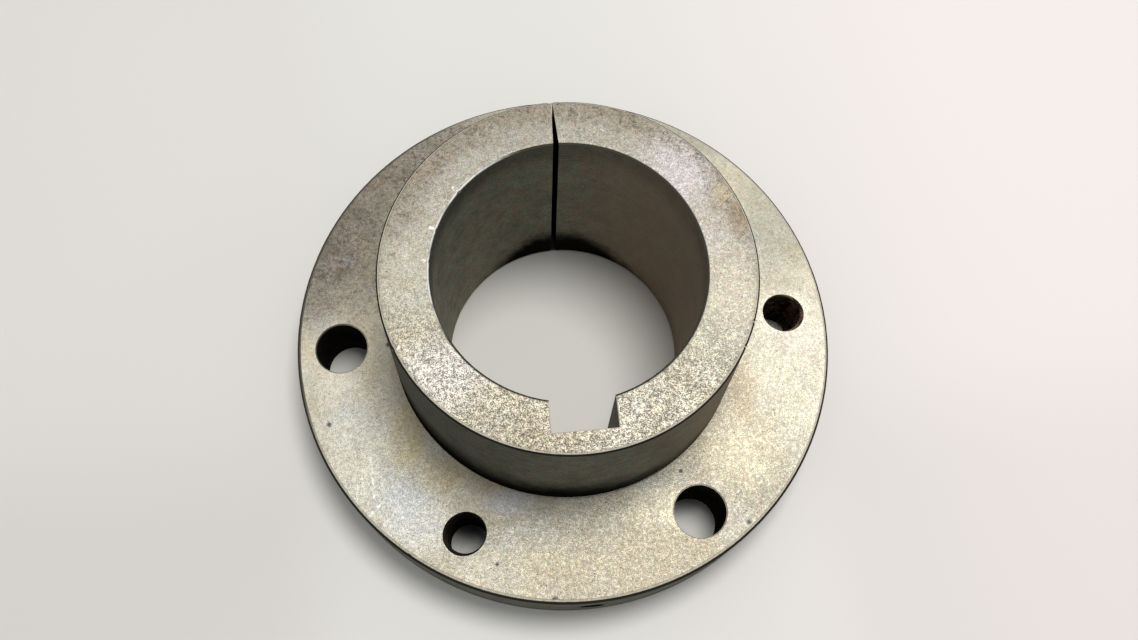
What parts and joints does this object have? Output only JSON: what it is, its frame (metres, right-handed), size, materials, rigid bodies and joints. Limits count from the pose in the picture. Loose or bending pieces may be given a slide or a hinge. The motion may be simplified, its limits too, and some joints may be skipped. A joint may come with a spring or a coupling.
{
  "type": "quick disconnect bushing",
  "caption": "Flanged split bushing with a tapered barrel, a keyed straight bore and alternating clearance and tapped flange holes.",
  "frame": {"origin": "bore axis at the flange's back face, which the part stands on", "axes": "+Z along the bore axis from the flange to the barrel's small end, +Y through the split, -Y through the keyseat"},
  "size_m": [0.1524, 0.1524, 0.0667],
  "materials": {
    "steel": "satin"
  },
  "bodies": {
    "root": {"split_taper_bushing": "steel"}
  },
  "joints": []
}
